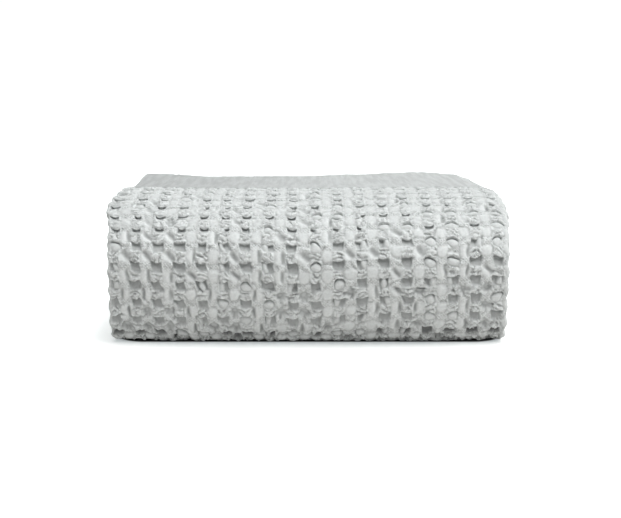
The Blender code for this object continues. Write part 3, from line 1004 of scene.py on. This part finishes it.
def crinkle_group():
    """Creases that wander like contour lines, and small puckers, on the fabric coordinates: for bumps and for
    painted shade.
    """
    outputs = {"Crease": ("Float",), "Pucker": ("Float",)}
    tree = new_tree("crinkles", "ShaderNodeTree", {"Fabric": ("Vector",)}, outputs)
    graph = Graph(tree)
    fabric = graph.add("NodeGroupInput").outputs["Fabric"]
    field = graph.flat_noise(fabric, 150.0, 0.6, 0.9)
    off = graph.math("ABSOLUTE", graph.math("SUBTRACT", field, 0.5))
    cells = {"Vector": fabric, "Scale": 360.0, "Randomness": 0.7}
    distance = graph.add("ShaderNodeTexVoronoi", cells, voronoi_dimensions="2D").outputs["Distance"]
    creased = graph.step(off, (0.01, 0.075), (1.0, 0.0))
    puckered = graph.step(distance, (0.08, 0.42), (1.0, 0.0))
    graph.add("NodeGroupOutput", {"Crease": creased, "Pucker": puckered})
    return tree


def cotton(name, looks, weave, crinkles, plain=False):
    """Matt cotton: woven thread, creases and puckers where the relief asks for them, and painted shade: in
    the pockets, dimples and troughs, in the creases and puckers, and down in the hollows, with painted light
    on the crests.

    The plain border's has more painted shade, most at its left, and is streaked along the cloth with painted
    light and shade for its crumples.
    """
    matt = {"Roughness": 0.92, "Specular IOR Level": 0.15, "Sheen Weight": 0.06, "Sheen Roughness": 0.6}
    material, graph, shader = new_material(name, matt)
    fabric = graph.add("ShaderNodeUVMap", uv_map="fabric").outputs["UV"]
    thread = graph.add("ShaderNodeGroup", {"Fabric": fabric}, node_tree=weave).outputs
    folds = graph.add("ShaderNodeGroup", {"Fabric": fabric}, node_tree=crinkles).outputs
    relief = graph.add("ShaderNodeAttribute", attribute_name="relief").outputs["Vector"]
    hollow = graph.add("ShaderNodeAttribute", attribute_name="hollow").outputs["Fac"]
    masks = graph.add("ShaderNodeSeparateXYZ", {0: relief})
    knot, pocket, gather = (masks.outputs[axis] for axis in "XYZ")
    crease = graph.math("MULTIPLY", folds["Crease"], knot)
    pucker = graph.math("MULTIPLY", folds["Pucker"], gather)
    sunk = graph.math("MULTIPLY_ADD", pucker, 0.7, crease)

    woven = {"Strength": looks.weave_bump, "Distance": 0.0004, "Height": thread["Height"]}
    fine = graph.add("ShaderNodeBump", woven).outputs["Normal"]
    crinkled = {"Strength": looks.crinkle_bump, "Distance": 0.0010, "Height": sunk, "Normal": fine}
    coarse = graph.add("ShaderNodeBump", crinkled, invert=True).outputs["Normal"]

    # Slub varies the thread's own tone; the rest is painted shade, and painted light on the crests
    shades = [
        graph.step(thread["Slub"], (0.3, 0.7), (0.95, 1.03)),
        graph.math("POWER", looks.pocket_painted_shade, pocket),
        graph.math("POWER", looks.hollow_painted_shade, hollow),
        graph.step(sunk, (0.0, 1.2), (1.0, looks.crinkle_painted_shade)),
    ]
    # The plain border: streaks of painted light and shade for its crumples, and painted shade that darkens
    # it, most at its left
    if plain:
        stretched = graph.add("ShaderNodeMapping", {"Vector": fabric, "Scale": (150.0, 13.0, 1.0)})
        painted_crumple_streaks = graph.flat_noise(stretched.outputs["Vector"], 1.0, 2.0)
        sideways = graph.add("ShaderNodeSeparateXYZ", {0: fabric}).outputs["X"]
        shades.append(graph.step(painted_crumple_streaks, (0.3, 0.7), (0.90, 1.05)))
        shades.append(graph.step(sideways, (-0.20, 0.08), looks.border_painted_shade))
    shade = shades[0]
    for other in shades[1:]:
        shade = graph.math("MULTIPLY", shade, other)
    graph.feed(shader, {"Normal": coarse, "Base Color": graph.scaled(looks.colour, shade)})
    return material


def cotton_material(plain=False):
    """The bedspread's cotton, made once for the waffle and once for the plain border."""
    name = "plain_cotton_cloth" if plain else "waffle_cotton_cloth"
    if name not in bpy.data.materials:
        groups = bpy.data.node_groups
        weave = groups.get("plain_weave") or weave_group()
        crinkles = groups.get("crinkles") or crinkle_group()
        cotton(name, bpy.context.scene.bedspread_cloth, weave, crinkles, plain)
    return bpy.data.materials[name]


def thread_material(looks):
    """Twisted cotton thread: a little lighter than the cloth, with its plies across each stitch, darker in
    their grooves and lighter on them as painted shade and light.
    """
    settings = {"Roughness": 0.75, "Specular IOR Level": 0.25, "Sheen Weight": 0.05}
    material, graph, shader = new_material("sewing_thread", settings)
    where = graph.add("ShaderNodeTexCoord").outputs["Object"]
    wave = {"Vector": where, "Scale": 700.0, "Distortion": 0.6}
    twist = graph.add("ShaderNodeTexWave", wave, bands_direction="DIAGONAL").outputs["Fac"]
    plies = graph.add("ShaderNodeBump", {"Strength": 0.5, "Distance": 0.0002, "Height": twist})
    colour = graph.scaled(looks.colour, graph.step(twist, (0.0, 1.0), (0.88, 1.06)))
    graph.feed(shader, {"Normal": plies.outputs["Normal"], "Base Color": colour})
    return material


# The stage

LIGHT_FROM = (0.32, -0.14, 0.937)
HORIZON_WHITE = 1.03
FLOOR_REACH = 80.0
FLOOR_CORNER = 0.035
# Tint of the floor's painted light
PAINTED_LIGHT_TINT = (0.91, 0.985, 1.0, 1.0)
CAMERA_SIDEWAYS = 0.002
FRAME_WIDTH_MM = 36.0


def overhead_world(stage):
    """A surround that is white at the horizon, dim at the sides and bright overhead."""
    world = bpy.data.worlds.new("overhead_surround")
    world.use_nodes = True
    graph = Graph(world.node_tree)
    where = graph.add("ShaderNodeTexCoord").outputs["Generated"]
    rise = graph.add("ShaderNodeSeparateXYZ", {0: where}).outputs["Z"]
    horizon = graph.step(rise, (0.10, 0.17), (HORIZON_WHITE - stage.around, 0.0))
    towards = graph.vector("DOT_PRODUCT", where, LIGHT_FROM)["Value"]
    above = graph.step(towards, (0.70, 0.90), (stage.around, stage.overhead))
    strength = graph.math("ADD", horizon, above)
    graph.feed(graph.nodes["Background"], {"Color": (1.0, 1.0, 1.0, 1.0), "Strength": strength})
    return world


def pale_floor(stage):
    """A plain pale floor, with a painted shadow right under the pile, and painted light that makes it glow
    white for the camera a little way off it.
    """
    settings = {"Roughness": 0.9, "Specular IOR Level": 0.1, "Emission Color": PAINTED_LIGHT_TINT}
    paint, graph, shader = new_material("pale_floor", settings)
    where = graph.add("ShaderNodeTexCoord").outputs["Object"]
    core = (WIDTH / 2 - FLOOR_CORNER, DEPTH / 2 - TOE_RUN - FLOOR_CORNER, 0.0)
    past = graph.vector("SUBTRACT", graph.vector("ABSOLUTE", where)["Vector"], core)["Vector"]
    outside = graph.vector("MAXIMUM", past, (0.0, 0.0, 0.0))["Vector"]
    away = graph.math("SUBTRACT", graph.vector("LENGTH", outside)["Value"], FLOOR_CORNER)
    # Painted shadow: the floor darkened right under the pile
    colour = graph.scaled(stage.floor_colour, graph.step(away, (-0.004, 0.002), (0.22, 1.0)))
    # Painted light, for camera rays only: white from the pile's edge on, and more farther off
    edge = graph.step(away, (-0.002, 0.003), (0.0, 0.60 * stage.floor_painted_light))
    beyond = graph.step(away, (0.015, 0.070), (0.0, 0.40 * stage.floor_painted_light))
    seen = graph.add("ShaderNodeLightPath").outputs["Is Camera Ray"]
    painted_light = graph.math("MULTIPLY", graph.math("ADD", edge, beyond), seen)
    graph.feed(shader, {"Base Color": colour, "Emission Strength": painted_light})
    return paint


# Settings


def metres(name, description, default, low=0.0, high=10.0):
    """A property for a size in metres."""
    kind = {"unit": "LENGTH", "subtype": "DISTANCE"}
    return bpy.props.FloatProperty(
        name=name, description=description, default=default, min=low, max=high, **kind
    )


def factor(name, description, default):
    """A property for a share from 0 to 1."""
    return bpy.props.FloatProperty(
        name=name, description=description, default=default, min=0.0, max=1.0, subtype="FACTOR"
    )


def number(name, description, default, low=0.0, high=10.0):
    """A property for a plain number."""
    return bpy.props.FloatProperty(name=name, description=description, default=default, min=low, max=high)


def rgb(name, description, default):
    """A property for a colour."""
    return bpy.props.FloatVectorProperty(
        name=name, description=description, default=default, size=3, min=0.0, max=1.0, subtype="COLOR"
    )


class BedspreadCloth(bpy.types.PropertyGroup):
    """Sizes and colour of the woven cloth."""

    pocket_depth: metres(
        "Pocket depth", "From the top of the puckers to the pockets' floors", 0.0068, high=0.0080
    )
    ground_depth: metres(
        "Ground depth", "From the top of the domes to the cloth between them", 0.0022, high=0.0040
    )
    crinkle_height: metres("Crinkle height", "Depth of the creases on the knots", 0.0012, high=0.0020)
    border_inset: metres(
        "Border inset", "How far the plain border is drawn in where it meets the waffle", 0.0120, high=0.0300
    )
    overhang: metres("Overhang", "How far each knot hangs over the pocket below it", 0.0024, high=0.0040)
    end_scallop: metres(
        "End scallop", "How far the rows of pockets draw in the ends of the cloth", 0.0018, high=0.0050
    )
    border_drop: metres(
        "Border drop", "How far the plain border lies under the waffle's puckers", 0.0013, high=0.0025
    )
    hem_width: metres("Hem width", "Width of the hem at the border's free edge", 0.0200, high=0.0500)
    hem_rise: metres(
        "Hem rise", "How far the turned-under hem stands above the border", 0.0007, high=0.0020
    )
    stitch_pitch: metres(
        "Stitch pitch", "From one stitch of the hem to the next", 0.0042, low=0.0010, high=0.0200
    )
    thread_radius: metres("Thread radius", "Radius of the sewing thread", 0.0004, low=0.0001, high=0.0020)
    colour: rgb("Cotton", "Colour of the cotton", (0.62, 0.645, 0.64))
    crinkle_bump: factor("Crinkle bump", "Strength of the fine crinkles on the knots", 0.70)
    # Painted shade: how dark the plain border is at its left and its right
    border_painted_shade: bpy.props.FloatVectorProperty(
        name="Border shade", description="How dark the plain border is at its left and its right",
        default=(0.73, 0.88), size=2, min=0.0, max=1.2,
    )
    # Painted shade in the creases of the knots and in the puckers
    crinkle_painted_shade: factor("Crinkle shade", "How dark the creases are, 1 for as light as the cloth", 0.80)
    # Painted shade in the pockets, under their brows, and in the dimples, troughs and gutters
    pocket_painted_shade: factor(
        "Pocket shade", "How dark the pockets' floors are, 1 for as light as the cloth", 0.82
    )
    # Painted shade down in the hollows, and painted light on the crests
    hollow_painted_shade: factor(
        "Hollow shade", "How dark the cloth is a millimetre down in its creases, 1 for even", 0.66
    )
    weave_bump: factor("Weave bump", "Strength of the woven thread", 0.35)


class BedspreadStage(bpy.types.PropertyGroup):
    """The stage's light and the camera."""

    overhead: number("Overhead light", "Strength of the wide soft light overhead", 3.30)
    around: number("Light around", "Strength of the dim light from the sides", 0.16)
    # Painted light that whitens the floor for the camera away from the pile
    floor_painted_light: number("Floor glow", "White added to the floor away from the pile", 0.75)
    floor_colour: rgb("Floor", "Colour of the floor", (0.80, 0.785, 0.765))
    lens: number("Lens", "Focal length on a 36 mm frame", 60.0, low=10.0, high=300.0)
    camera_distance: metres(
        "Camera distance", "From the camera to the front of the pile, along the floor", 1.12, low=0.3
    )
    camera_height: metres("Camera height", "Height of the camera above the floor", 0.290)
    camera_pitch: bpy.props.FloatProperty(
        name="Camera pitch", description="How far the camera looks down",
        default=math.radians(9.4), min=0.0, max=math.pi / 2, unit="ROTATION", subtype="ANGLE",
    )


# Pieces

# Steps of the waffle's mesh to a row of pockets, and the rows where one piece of the front ends
FRONT_STEPS = 28
BASE_STEPS = 10
FRONT_CUTS = (4.6, 8.8, FRONT_ROWS)
FOLD_PITCH = 0.0010
LEG_PITCH = 0.0022


@functools.cache
def cloth_path():
    """The cloth's path and its shift into the CAD frame, worked out once."""
    path = ClothPath()
    return path, frame_shift(path)


class SewHem(bpy.types.Operator):
    """Sew the seam of the hem at the border's free edge"""

    bl_idname = "bedspread.sew_hem"
    bl_label = "Hem stitches"

    def execute(self, context):
        sizes = context.scene.bedspread_cloth
        path, shift = cloth_path()
        points = seam_line(path, sizes, shift)
        seam = bpy.data.meshes.new("hem_seam")
        seam.from_pydata(points.tolist(), [(i, i + 1) for i in range(len(points) - 1)], [])
        settings = {
            "Stitch Pitch": sizes.stitch_pitch,
            "Stitch Length": STITCH_SHARE * sizes.stitch_pitch,
            "Thread Radius": sizes.thread_radius,
            "Thread": thread_material(sizes),
        }
        stitches = grown("hem_stitches", seam, stitch_tree(), settings)
        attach(stitches, "root")
        return {"FINISHED"}


class WeaveBorder(bpy.types.Operator):
    """Weave the plain border, from its hemmed free edge on top to the start of the waffle"""

    bl_idname = "bedspread.weave_border"
    bl_label = "Plain border"

    def execute(self, context):
        skin = Skin(context.scene.bedspread_cloth)
        path, edge = skin.path, skin.path.length[0]
        hem = edge + skin.sizes.hem_width
        loop = Loop(*BORDER_STATIONS)
        tip = edge + np.array([0.0, 0.0002, 0.0005, 0.0010])
        hemmed = np.concatenate([tip, steps(edge + 0.0016, hem + 0.004, 0.0009)])
        skin.band(hemmed, loop, (1.0, 0.0), taper=(0.0016, 0.0))
        skin.band(steps(hem + 0.0065, path.boundary - 0.0035, 0.0030), loop, (1.0, 0.0))
        skin.band(steps(path.boundary - 0.0027, path.boundary + 0.0006, 0.0008), loop, (1.0, 0.0))
        dressed(skin.finished("plain_border"), plain=True)
        return {"FINISHED"}


class WeaveFront(bpy.types.Operator):
    """Weave the waffle that shows: over the shoulder, down the round front and under the toe"""

    bl_idname = "bedspread.weave_front"
    bl_label = "Waffle front"

    def execute(self, context):
        loop = Loop(near_count=576, far_count=12, strip_count=6, round_count=9)
        cuts = (0.0006, *(rows * ROW_TALL for rows in FRONT_CUTS))
        for name, start, stop in zip(("waffle_shoulder", "waffle_front", "waffle_toe"), cuts, cuts[1:]):
            skin = Skin(context.scene.bedspread_cloth)
            lengths = [skin.path.at_near_length(s) for s in steps(start, stop, ROW_TALL / FRONT_STEPS)]
            skin.band(np.array(lengths), loop, (1.0, 0.0))
            dressed(skin.finished(name))
        return {"FINISHED"}


class WeaveBase(bpy.types.Operator):
    """Weave the waffle of the underside, back to the lowest fold"""

    bl_idname = "bedspread.weave_base"
    bl_label = "Waffle base"

    def execute(self, context):
        skin = Skin(context.scene.bedspread_cloth)
        start = skin.path.at_near_length(FRONT_ROWS * ROW_TALL)
        stop = skin.path.at_along(1 - FOLD_LAP)
        fine = Loop(near_count=180, far_count=12, strip_count=5, round_count=8)
        skin.band(steps(start, stop, ROW_TALL / BASE_STEPS), fine, (1.0, 0.0))
        dressed(skin.finished("waffle_base"))
        return {"FINISHED"}


class FoldLayers(bpy.types.Operator):
    """Weave the inner layers: their ends at both sides and their folds at the back"""

    bl_idname = "bedspread.fold_layers"
    bl_label = "Inner layers"

    def execute(self, context):
        path, _ = cloth_path()
        ribbon = Loop(near_count=12, far_count=12, strip_count=7, round_count=8)
        start = path.at_along(1 - FOLD_LAP)
        for piece, last_turn in enumerate((2, 4, 6)):
            skin = Skin(context.scene.bedspread_cloth)
            for number in (last_turn - 1, last_turn):
                fold_from = path.at_along(2 * number - 1 - FOLD_LAP)
                fold_to = path.at_along(2 * number + FOLD_LAP)
                counts, showing = ((240, 12), (1.0, 0.0)) if number % 2 else ((12, 240), (0.0, 1.0))
                fold = Loop(*counts, strip_count=6, round_count=8)
                skin.band(steps(fold_from, fold_to, FOLD_PITCH), fold, showing)
                leg_to = path.at_along(2 * number + 1 - FOLD_LAP)
                if number == TURNS - 1:
                    leg_to = path.at_along(2 * number + 1) - 0.006
                leg = steps(fold_to + LEG_PITCH, leg_to - LEG_PITCH, LEG_PITCH)
                skin.band(leg, ribbon, (0.0, 0.0))
                start = leg_to
            if last_turn == TURNS - 1:
                end = path.length[-1]
                tail = Loop(near_count=120, far_count=120, strip_count=6, round_count=8)
                before_end = np.array([0.006, 0.0045, 0.003, 0.002, 0.001, 0.0005, 0.0])
                skin.band(end - before_end, tail, (0.5, 0.5), (0, 0.005))
                start = end
            else:
                skin.band(np.array([start - LEG_PITCH / 2, start]), ribbon, (0.0, 0.0))
            dressed(skin.finished(f"inner_layers_{piece + 1}"))
        return {"FINISHED"}


class SetStage(bpy.types.Operator):
    """Set the pale floor, the soft lights, the white surround and the camera"""

    bl_idname = "bedspread.set_stage"
    bl_label = "Stage"

    def execute(self, context):
        stage, scene = context.scene.bedspread_stage, context.scene
        mesh = bpy.data.meshes.new("floor")
        corners = [(x * FLOOR_REACH, y * FLOOR_REACH, 0) for x, y in ((-1, -1), (1, -1), (1, 1), (-1, 1))]
        mesh.from_pydata(corners, [], [(0, 1, 2, 3)])
        floor = placed("floor", mesh)
        mesh.materials.append(pale_floor(stage))

        scene.world = overhead_world(stage)

        lens = bpy.data.cameras.new("camera")
        lens.lens, lens.sensor_width = stage.lens, FRAME_WIDTH_MM
        lens.clip_start, lens.clip_end = 0.05, 60.0
        camera = placed("camera", lens)
        camera.location = (CAMERA_SIDEWAYS, NODE_BOX[0][1] - stage.camera_distance, stage.camera_height)
        camera.rotation_euler = (math.pi / 2 - stage.camera_pitch, 0.0, 0.0)
        scene.camera = camera
        scene.view_settings.view_transform = "Standard"
        scene.view_settings.look = "None"
        return {"FINISHED"}


class BedspreadPanel(bpy.types.Panel):
    """The steps that make the bedspread, in order"""

    bl_idname = "VIEW3D_PT_bedspread"
    bl_label = "Bedspread"
    bl_space_type = "VIEW_3D"
    bl_region_type = "UI"
    bl_category = "Bedspread"

    def draw(self, context):
        column = self.layout.column()
        for group in (context.scene.bedspread_cloth, context.scene.bedspread_stage):
            for name in group.__annotations__:
                column.prop(group, name)
        for step in STEPS:
            column.operator(step.bl_idname)


STEPS = (SetStage, SewHem, WeaveBorder, WeaveFront, WeaveBase, FoldLayers)
CLASSES = (BedspreadCloth, BedspreadStage, *STEPS, BedspreadPanel)


def register():
    for cls in CLASSES:
        bpy.utils.register_class(cls)
    bpy.types.Scene.bedspread_cloth = bpy.props.PointerProperty(type=BedspreadCloth)
    bpy.types.Scene.bedspread_stage = bpy.props.PointerProperty(type=BedspreadStage)


def unregister():
    del bpy.types.Scene.bedspread_stage
    del bpy.types.Scene.bedspread_cloth
    for cls in reversed(CLASSES):
        bpy.utils.unregister_class(cls)


def main():
    register()
    bpy.ops.bedspread.set_stage()
    bpy.ops.bedspread.sew_hem()
    bpy.ops.bedspread.weave_border()
    bpy.ops.bedspread.weave_front()
    bpy.ops.bedspread.weave_base()
    bpy.ops.bedspread.fold_layers()


if __name__ == "__main__":
    main()
